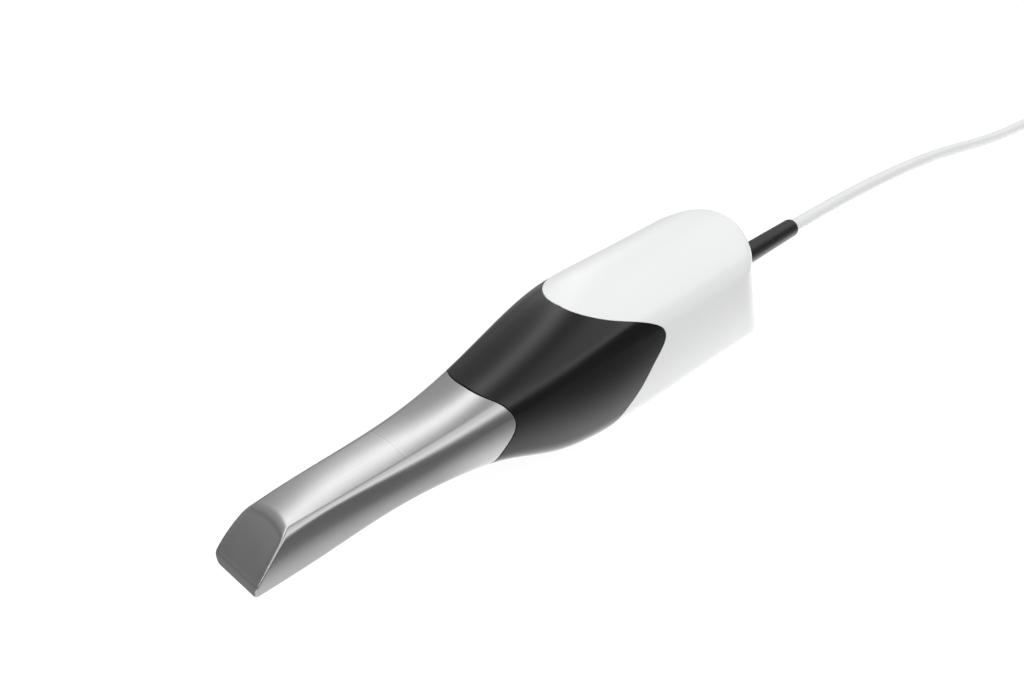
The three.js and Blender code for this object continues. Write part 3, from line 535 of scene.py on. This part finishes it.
def ranged(tree, value, low, high, source=(0.25, 0.75)):
    """A value moved from the source range to the range low to high, and held inside it."""
    inputs = {"Value": value, "From Min": source[0], "From Max": source[1]}
    inputs.update({"To Min": low, "To Max": high})
    return add_node(tree, "ShaderNodeMapRange", inputs).outputs["Result"]


def mixed(tree, factor, first, second):
    """A colour between two others, each given as numbers or as a node's output."""
    node = add_node(tree, "ShaderNodeMix", {"Factor": factor}, data_type="RGBA")
    for socket, colour in ((node.inputs[6], first), (node.inputs[7], second)):
        if isinstance(colour, bpy.types.NodeSocket):
            tree.links.new(colour, socket)
        else:
            socket.default_value = (*colour[:3], 1)
    return node.outputs[2]


def bumped(tree, height, distance):
    inputs = {"Height": height, "Distance": distance, "Strength": 1.0}
    return add_node(tree, "ShaderNodeBump", inputs).outputs["Normal"]


def new_material(name):
    material = bpy.data.materials.new(name)
    material.use_nodes = True
    return material, material.node_tree, material.node_tree.nodes["Principled BSDF"]


def set_inputs(tree, surface, values):
    for name, value in values.items():
        if isinstance(value, bpy.types.NodeSocket):
            tree.links.new(value, surface.inputs[name])
        else:
            surface.inputs[name].default_value = value


def moulded(name, colour, roughness, grain, depth, shade=0.9, spread_of=0.04, **extra):
    """Plastic or rubber: a fine moulded grain, patchy sheen and slight colour variation."""
    material, tree, surface = new_material(name)
    fine = noise(tree, grain)
    patches = noise(tree, 45.0, detail=2.0)
    darker = tuple(channel * shade for channel in colour)
    set_inputs(tree, surface, {
        "Base Color": mixed(tree, ranged(tree, patches, 0, 1), colour, darker),
        "Roughness": ranged(tree, patches, roughness - spread_of, roughness + spread_of),
        "Normal": bumped(tree, fine, depth),
        **extra,
    })
    return material


def machined(name, colour, roughness, stretch, depth, spread_of=0.035):
    """Metal with a drawn or turned grain; stretch is small along the grain."""
    material, tree, surface = new_material(name)
    grain = noise(tree, 2600.0, stretch, detail=4.0)
    clouds = noise(tree, 60.0, detail=2.0)
    darker = tuple(channel * 0.94 for channel in colour)
    rough = ranged(tree, grain, roughness - spread_of, roughness + spread_of)
    set_inputs(tree, surface, {
        "Base Color": mixed(tree, ranged(tree, clouds, 0, 1), colour, darker),
        "Metallic": 1.0,
        "Roughness": rough,
        "Normal": bumped(tree, grain, depth),
    })
    return material


# ---------------------------------------------------------------- materials


def sleeve_steel():
    """Satin stainless steel: a fine grain along the sleeve and a soft, slightly cloudy sheen."""
    return machined("sleeve_steel", (0.62, 0.62, 0.625), 0.21, (0.02, 1, 1), 2.5e-7, 0.02)


def copper_winding():
    """Enamelled wire wound round the x axis, with painted shade between the turns and painted
    highlight on their crowns.
    """
    material, tree, surface = new_material("copper")
    vector = mapped(tree)
    turns = add_node(
        tree, "ShaderNodeTexWave", {"Vector": vector, "Scale": 1400.0},
        wave_type="BANDS", bands_direction="X",
    ).outputs["Fac"]
    set_inputs(tree, surface, {
        # Painted shade and highlight: darker copper between the turns, lighter copper on their
        # crowns.
        "Base Color": mixed(tree, turns, (0.42, 0.16, 0.07), (0.75, 0.36, 0.2)),
        "Metallic": 0.9,
        "Roughness": 0.34,
        "Normal": bumped(tree, turns, 6e-5),
    })
    return material


def circuit_board():
    """Solder mask with faint conductor tracks under it."""
    material, tree, surface = new_material("circuit_board")
    vector = mapped(tree)
    tracks = add_node(
        tree, "ShaderNodeTexBrick",
        {
            "Vector": vector, "Scale": 260.0, "Mortar Size": 0.06, "Brick Width": 1.4,
            "Color1": (0, 0, 0, 1), "Color2": (0, 0, 0, 1), "Mortar": (1, 1, 1, 1),
        },
    ).outputs["Fac"]
    set_inputs(tree, surface, {
        "Base Color": mixed(tree, tracks, (0.012, 0.1, 0.045), (0.03, 0.2, 0.1)),
        "Roughness": ranged(tree, noise(tree, 500.0), 0.28, 0.4),
        "Normal": bumped(tree, tracks, 3e-5),
        "Coat Weight": 0.4,
    })
    return material


def optical_glass():
    """Clear glass with a faint coating that shows at grazing angles."""
    material, tree, surface = new_material("optical_glass")
    facing = add_node(tree, "ShaderNodeLayerWeight", {"Blend": 0.35}).outputs["Facing"]
    smudge = noise(tree, 120.0, detail=4.0)
    set_inputs(tree, surface, {
        "Base Color": mixed(tree, facing, (0.93, 0.97, 0.98), (0.72, 0.78, 0.95)),
        "Roughness": ranged(tree, smudge, 0.01, 0.05),
        "IOR": 1.52,
        "Transmission Weight": 1.0,
    })
    return material


def mirror_coating():
    """Front-silvered glass with a trace of haze."""
    material, tree, surface = new_material("mirror_coating")
    haze = noise(tree, 300.0, detail=5.0)
    set_inputs(tree, surface, {
        "Base Color": mixed(tree, ranged(tree, haze, 0, 1), (0.9, 0.92, 0.94), (0.86, 0.89, 0.92)),
        "Metallic": 1.0,
        "Roughness": ranged(tree, haze, 0.015, 0.04),
    })
    return material


MATERIALS = {
    "sleeve_steel": sleeve_steel(),
    "small_steel": machined("small_steel", (0.6, 0.6, 0.62), 0.3, (1, 0.15, 0.15), 4e-7),
    "black_plastic": moulded("black_plastic", (0.014, 0.014, 0.015), 0.42, 3000.0, 1.2e-6),
    "grip_black": moulded(
        "grip_black", (0.003, 0.003, 0.0032), 0.19, 5200.0, 6e-7, 0.9, 0.015,
        **{"Specular IOR Level": 0.6},
    ),
    "housing_white": moulded(
        "housing_white", (0.88, 0.885, 0.89), 0.3, 2600.0, 3e-7, 0.995, 0.015,
    ),
    "black_rubber": moulded("black_rubber", (0.008, 0.008, 0.0085), 0.42, 3600.0, 1.2e-6),
    "cable_jacket": moulded("cable_jacket", (0.83, 0.835, 0.84), 0.42, 2400.0, 5e-7, 0.99),
    "nylon": moulded("nylon", (0.72, 0.7, 0.63), 0.45, 1500.0, 1.5e-6, 0.94),
    "aluminium": machined("aluminium", (0.62, 0.63, 0.65), 0.34, (0.06, 1, 1), 6e-7),
    "black_aluminium": machined("black_aluminium", (0.04, 0.04, 0.045), 0.4, (0.2, 1, 1), 7e-7),
    "copper": copper_winding(),
    "magnet_nickel": machined("magnet_nickel", (0.55, 0.54, 0.52), 0.2, (1, 1, 1), 4e-7),
    "optical_glass": optical_glass(),
    "mirror_coating": mirror_coating(),
    "circuit_board": circuit_board(),
    "chip_black": moulded("chip_black", (0.025, 0.025, 0.028), 0.42, 2500.0, 2e-6),
}

# ---------------------------------------------------------------- casings


def sleeve():
    """Steel sleeve, open at the back, with the opening for the scan window."""
    slope = list(np.arange(1.45, 18, 0.4))
    neck = between(NOSE_END, GROOVE_X - 0.5, 40)
    groove = [GROOVE_X - GROOVE_HALF_WIDTH, GROOVE_X, GROOVE_X + GROOVE_HALF_WIDTH]
    joint = sleeve_joint(ANGLE)
    flare = between(GROOVE_X + 0.5 + 0 * joint, joint - 0.3, 44)
    edge, edge_depths = fold(joint, 1, SLEEVE_END_RADIUS)
    inner_edge, inner_depths = [joint, joint - 0.1], [SLEEVE_WALL - 0.1, SLEEVE_WALL]
    inside = [*between(joint - 0.4, NOSE_END + 0 * joint, 20), *NOSE_INSIDE_RINGS]
    outside = [*NOSE_LIP_RINGS, *slope, *neck]
    stations = [*outside, *groove, *flare, *edge, *inner_edge, *inside]
    depths = [*[0] * len(outside), 0, GROOVE_DEPTH, 0, *[0] * len(flare)]
    depths += [*edge_depths, *inner_depths, *[SLEEVE_WALL] * len(inside)]
    points, faces = capped(rings(stations, depths))
    piece = add_piece(
        "sleeve", points, faces, "sleeve_steel", "sleeve", ("sleeve_shell",), sharp=50,
    )
    low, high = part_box("window_frame")
    half = (high.x - low.x) / 2 / MM + WINDOW_CLEARANCE
    middle = ((high.x + low.x) / 2 - NOSE) / MM
    outline = rounded_outline(half, half, WINDOW_CORNER)
    cut_hole(piece, *prism(outline, -1, WINDOW_TOP, middle))


def prism(outline, low, high, x):
    """A closed upright prism over an outline in plan, centred at a station."""
    levels = []
    for z in (low, high):
        level = np.full(len(outline), float(z))
        levels.append(np.column_stack([outline[:, 0] + x, outline[:, 1], level]))
    return capped(np.stack(levels))


def button_outline(extra):
    """The button's round-ended outline in plan, grown by a margin."""
    half_length = BUTTON_LENGTH / 2 + extra
    half = BUTTON_WIDTH / 2 + extra
    return rounded_outline(half_length, half, half, 12)


def grip():
    """Black front shell with its stepped lip at the back and the opening for the button."""
    start = sleeve_joint(ANGLE) + JOINT_GAP
    end = housing_joint(ANGLE) - 0.1
    front, front_depths = fold(start, -1, GRIP_FRONT_RADIUS)
    back, back_depths = fold(end, 1, GRIP_BACK_RADIUS)
    outside = between(start + 0.5, end - 0.4, 76)
    step = [end, end + 0.2, end + LIP_LENGTH, end + LIP_LENGTH]
    step_depths = [LIP_DEPTH - 0.05, LIP_DEPTH, LIP_DEPTH, GRIP_WALL]
    inside = between(end + LIP_LENGTH - 0.4, start + 0.4, 26)
    stations = [*front[::-1], *outside, *back, *step, *inside, start, start]
    depths = [*front_depths[::-1], *[0] * len(outside), *back_depths, *step_depths]
    depths += [GRIP_WALL] * len(inside) + [GRIP_WALL, 1.0]
    points, faces = looped(rings(stations, depths))
    piece = add_piece(
        "front_grip", points, faces, "grip_black", "grip", ("front_grip_shell",), sharp=50,
    )
    cut_hole(piece, *prism(button_outline(BUTTON_GAP), -25, 0, BUTTON_X))


def housing():
    """White rear housing with the rebate over the grip's lip and the hole for the cable."""
    start = housing_joint(ANGLE) + 0.1
    rebate_end = start + LIP_LENGTH + GASKET_LENGTH + 2 * SHELL_GAP
    front, front_depths = fold(start, -1, HOUSING_FRONT_RADIUS)
    spine = REAR_SPINE + 0 * start
    outside = between(start + 0.5, spine, 50)
    rebate_depth = LIP_DEPTH - SHELL_GAP
    near = rings(
        [*between(spine, rebate_end, 12), rebate_end, start, *front[::-1], *outside],
        [*[HOUSING_WALL] * 12, rebate_depth, rebate_depth, *front_depths[::-1], *[0] * 50],
    )
    outer = rear_rings(REAR_SHARES, 0, REAR_REACHES)
    inner = rear_rings(REAR_INSIDE_SHARES, HOUSING_WALL)
    points, faces = capped(np.concatenate([inner, near, outer]))
    piece = add_piece(
        "housing", points, faces, "housing_white", "grip", ("rear_housing",), sharp=50,
    )
    hole = turned([(station, CABLE_HOLE_RADIUS) for station in CABLE_HOLE_ENDS], CABLE_HEIGHT)
    cut_hole(piece, *capped(hole))


def button_surface(outline, depth):
    """Points of the button's face over an outline in plan, at a depth under the grip's surface."""
    start = np.column_stack([outline[:, 0] + BUTTON_X, outline[:, 1], 0 * outline[:, 0]])
    down = np.broadcast_to(np.array([0.0, 0.0, -1.0]), start.shape)
    found = cast(start, down, depth)
    found[:, 2] -= BUTTON_PROUD
    return found


def release_button():
    """Button cap in the grip's underside, and the pusher above it that works the latch."""
    face = button_outline(-BUTTON_EDGE_RADIUS)
    rim = button_outline(-BUTTON_RIM_INSET)
    layers = [button_surface(face * scale, 0) for scale in (0.02, 0.2, 0.4, 0.6, 0.8, 0.92)]
    for i in range(5):
        turn = 0.5 * pi * i / 4
        inset = BUTTON_EDGE_RADIUS * (1 - sin(turn))
        layers.append(button_surface(button_outline(-inset), BUTTON_EDGE_RADIUS * (1 - cos(turn))))
    layers.append(button_surface(button_outline(0), GRIP_WALL - 0.2))
    layers.append(button_surface(rim, GRIP_WALL))
    layers.append(button_surface(rim * 0.02, GRIP_WALL))
    points, faces = capped(np.stack(layers))
    add_piece("button_cap", points, faces, "grip_black", "button", ("release_button",))
    outline = rounded_outline(PUSHER_HALF_LENGTH, PUSHER_HALF_WIDTH, PUSHER_CORNER, 4)
    bottom = button_surface(np.array([[0.0, 0.0]]), GRIP_WALL)[0, 2] - 0.4
    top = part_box("release_button")[1].z / MM
    add_piece("button_pusher", *prism(outline, bottom, top, PUSHER_X), "grip_black", "button")


def return_spring():
    """The button's return spring: a coil of wire in the place of the CAD spring, riding on no body.
    """
    low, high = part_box("button_spring")
    bottom, top = low.z / MM + SPRING_WIRE, high.z / MM - SPRING_WIRE
    share = np.linspace(0, 1, 24 * SPRING_TURNS)
    turn = share * SPRING_TURNS * 2 * pi
    side = np.column_stack([np.cos(turn), np.sin(turn), 0 * turn])
    centre = SPRING_RADIUS * side + np.column_stack(
        [SPRING_X + 0 * turn, 0 * turn, bottom + (top - bottom) * share]
    )
    points, faces = capped(tube(centre, side, SPRING_WIRE, 10))
    piece = add_piece("return_spring", points, faces, "small_steel", None, ("button_spring",))
    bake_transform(piece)


# ---------------------------------------------------------------- cable


def tube(centre, side, radius, count):
    """Rings of a round tube along a centre line; side points across it."""
    tangent = np.gradient(centre, axis=0)
    tangent /= np.linalg.norm(tangent, axis=1, keepdims=True)
    up = np.cross(tangent, side)
    up /= np.linalg.norm(up, axis=1, keepdims=True)
    turn = (np.arange(count) * 2 * pi / count)[:, None]
    return centre[:, None] + radius * (side[:, None] * np.cos(turn) + up[:, None] * np.sin(turn))


def bend_relief():
    """Rubber relief round the cable where it leaves the housing."""
    outer = [(RELIEF_START + 2, 6), (RELIEF_START + 2, 4.8), (252, 4.8), (255, 4.55)]
    outer += [(RELIEF_END - 1.6, 4.1)]
    for i in range(1, 7):
        turn = 0.5 * pi * i / 6
        outer.append((RELIEF_END - 1.6 + 1.0 * sin(turn), 3.1 + 1.0 * cos(turn)))
    bore = CABLE_RADIUS + RELIEF_BORE_GAP
    profile = [(RELIEF_START, bore), (RELIEF_START, 6), *outer, (RELIEF_END - 0.6, bore)]
    points, faces = looped(turned(profile, CABLE_HEIGHT))
    add_piece("relief", points, faces, "black_rubber", "grip", ("bend_relief",), sharp=35)


def cable():
    """The cable, which bends just behind the relief."""
    fall = smooth_curve(CABLE_STATION, CABLE_FALL)
    drift = smooth_curve(CABLE_STATION, CABLE_DRIFT)
    hidden = np.linspace(CABLE_START, RELIEF_END, 40)
    x = np.concatenate([hidden, np.linspace(RELIEF_END, CABLE_END, 220)[1:]])
    centre = np.column_stack([x, drift(x), np.maximum(fall(x), REST_HEIGHT + CABLE_RADIUS)])
    tangent = np.gradient(centre, axis=0)
    tangent /= np.linalg.norm(tangent, axis=1, keepdims=True)
    side = np.cross([0.0, 0.0, 1.0], tangent)
    side /= np.linalg.norm(side, axis=1, keepdims=True)
    points, faces = capped(tube(centre, side, CABLE_RADIUS, 40))
    piece = add_piece("cable", points, faces, "cable_jacket", None, ("cable_inner", "cable_outer"))
    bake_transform(piece)


# ---------------------------------------------------------------- carried-over nodes


def carry_over():
    """Gives the CAD nodes that stay in view their materials and softened edges."""
    for subpart in frame["record"]["subparts"]:
        node = frame["nodes"][subpart["node"]]
        if node.hide_render:
            continue
        node.data.materials.clear()
        node.data.materials.append(MATERIALS[subpart["material_slot"]])
        node.data.shade_smooth()
        node.data.set_sharp_from_angle(angle=radians(35))
        bevel = node.modifiers.new("edges", "BEVEL")
        bevel.width = SOFT_EDGE * MM
        bevel.segments = 2
        bevel.limit_method = "ANGLE"
        bevel.angle_limit = radians(50)
        bevel.harden_normals = True


# ---------------------------------------------------------------- studio


def ramp(tree, value, stops):
    """A grey ramp over a value from -1 to 1; stops are pairs of value and brightness."""
    share = ranged(tree, value, 0.0, 1.0, (-1.0, 1.0))
    node = add_node(tree, "ShaderNodeValToRGB", {"Fac": share})
    node.color_ramp.interpolation = "LINEAR"
    elements = node.color_ramp.elements
    while len(elements) < len(stops):
        elements.new(0.5)
    for element, (place_of, level) in zip(elements, stops):
        element.position = (place_of + 1) / 2
        element.color = (level, level, level, 1)
    return node.outputs["Color"]


# What polished surfaces reflect. Overhead, long lamps run away from the camera: brightness by
# how far a direction leans to the camera's right. On the floor lie a white card beside the sleeve
# and a bright panel beside the grip: brightness by distance across, in units of FLOOR_REACH.
# Last, the light on matt surfaces, by height.
OVERHEAD = [
    (-1, 0.2), (-0.8, 0.3), (-0.5, 0.36), (-0.3, 0.5), (-0.2, 0.9), (-0.13, 1.7), (-0.08, 1.7),
    (0.06, 0.5), (0.16, 0.36), (0.34, 0.9), (0.52, 0.9), (0.6, 1.15), (0.7, 1.2),
    (0.8, 0.18), (1, 0.14),
]
BELOW = 0.17
CARD = [
    (-1, 0.01), (-0.64, 0.04), (-0.46, 0.26), (-0.34, 0.44), (-0.22, 0.62), (-0.08, 0.7),
    (0.06, 0.1), (1, 0.08),
]
PANEL = [
    (-1, 0.01), (-0.62, 0.01), (-0.5, 0.22), (-0.4, 0.8), (-0.3, 1.7), (0, 2), (0.1, 0.5), (1, 0.3),
]
FLOOR_REACH = 0.1
PANEL_START = 0.07
PANEL_FULL = 0.125
DOME = [(-1, 0.5), (0, 0.4), (0.35, 0.58), (0.7, 1.1), (1, 1.4)]

# Floor: half its side in metres, how much light it scatters, and how bright it looks to the
# camera and to matt surfaces.
FLOOR_HALF_SIDE = 3.0
FLOOR_SCATTER = 0.16
FLOOR_SEEN = 0.95
FLOOR_ON_MATT = 0.74

CAMERA_PLACE = (-0.1139, -0.2170, 0.2382)
CAMERA_AZIMUTH = -45.15
CAMERA_ELEVATION = 34.31
CAMERA_LENS = 37.83


def dot(tree, direction, axis):
    node = add_node(tree, "ShaderNodeVectorMath", operation="DOT_PRODUCT")
    tree.links.new(direction, node.inputs[0])
    node.inputs[1].default_value = axis
    return node.outputs["Value"]


def studio():
    """Soft studio surround: long lamps and a gradient in reflections, an even dome elsewhere."""
    world = bpy.data.worlds.new("studio")
    bpy.context.scene.world = world
    world.use_nodes = True
    world.cycles.sampling_method = "NONE"
    tree = world.node_tree
    background = tree.nodes["Background"]
    direction = add_node(tree, "ShaderNodeTexCoord").outputs["Generated"]
    height = dot(tree, direction, (0, 0, 1))
    turn = radians(CAMERA_AZIMUTH)
    aside = dot(tree, direction, (cos(turn), sin(turn), 0))
    above = ranged(tree, height, 0.0, 1.0, (-0.05, 0.2))
    reflected = mixed(tree, above, (BELOW,) * 3, ramp(tree, aside, OVERHEAD))
    path = add_node(tree, "ShaderNodeLightPath")
    level = mixed(tree, path.outputs["Is Glossy Ray"], ramp(tree, height, DOME), reflected)
    level = mixed(tree, path.outputs["Is Camera Ray"], level, (1, 1, 1))
    tree.links.new(level, background.inputs["Color"])


def floor():
    """Plain white floor, seen only from above; reflections show the card and panel on it."""
    side = FLOOR_HALF_SIDE
    mesh = bpy.data.meshes.new("floor")
    corners = [(-side, -side), (side, -side), (side, side), (-side, side)]
    level = cad_low.z
    mesh.from_pydata([(x, y, level) for x, y in corners], [], [(0, 1, 2, 3)])
    plane = bpy.data.objects.new("floor", mesh)
    bpy.context.scene.collection.objects.link(plane)
    material = bpy.data.materials.new("floor")
    material.use_nodes = True
    tree = material.node_tree
    tree.nodes.clear()
    diffuse = add_node(tree, "ShaderNodeBsdfDiffuse", {"Color": (*[FLOOR_SCATTER] * 3, 1)})
    path = add_node(tree, "ShaderNodeLightPath")
    place_of = add_node(tree, "ShaderNodeNewGeometry").outputs["Position"]
    across = ranged(tree, dot(tree, place_of, (0, 1, 0)), -1, 1, (-FLOOR_REACH, FLOOR_REACH))
    along = ranged(tree, dot(tree, place_of, (1, 0, 0)), 0, 1, (PANEL_START, PANEL_FULL))
    below = mixed(tree, along, ramp(tree, across, CARD), ramp(tree, across, PANEL))
    matt, seen = (FLOOR_ON_MATT,) * 3, (FLOOR_SEEN,) * 3
    plain = mixed(tree, path.outputs["Is Camera Ray"], matt, seen)
    shown = mixed(tree, path.outputs["Is Glossy Ray"], plain, below)
    glow = add_node(tree, "ShaderNodeEmission", {"Color": shown})
    lit = add_node(tree, "ShaderNodeAddShader")
    tree.links.new(diffuse.outputs[0], lit.inputs[0])
    tree.links.new(glow.outputs[0], lit.inputs[1])
    clear = add_node(tree, "ShaderNodeBsdfTransparent")
    under = add_node(tree, "ShaderNodeNewGeometry").outputs["Backfacing"]
    both = add_node(tree, "ShaderNodeMixShader", {0: under, 1: lit.outputs[0], 2: clear.outputs[0]})
    output = add_node(tree, "ShaderNodeOutputMaterial")
    tree.links.new(both.outputs[0], output.inputs["Surface"])
    material.cycles.emission_sampling = "NONE"
    mesh.materials.append(material)


def camera():
    """The photograph's point of view."""
    data = bpy.data.cameras.new("camera")
    data.lens = CAMERA_LENS
    data.sensor_width = 36
    data.clip_start = 0.01
    data.clip_end = 20
    seen = bpy.data.objects.new("camera", data)
    bpy.context.scene.collection.objects.link(seen)
    seen.location = CAMERA_PLACE
    seen.rotation_euler = (radians(90 - CAMERA_ELEVATION), 0, radians(CAMERA_AZIMUTH))
    bpy.context.scene.camera = seen


sleeve()
grip()
housing()
release_button()
return_spring()
bend_relief()
cable()
carry_over()
studio()
floor()
camera()
bpy.context.scene.view_settings.view_transform = "Standard"
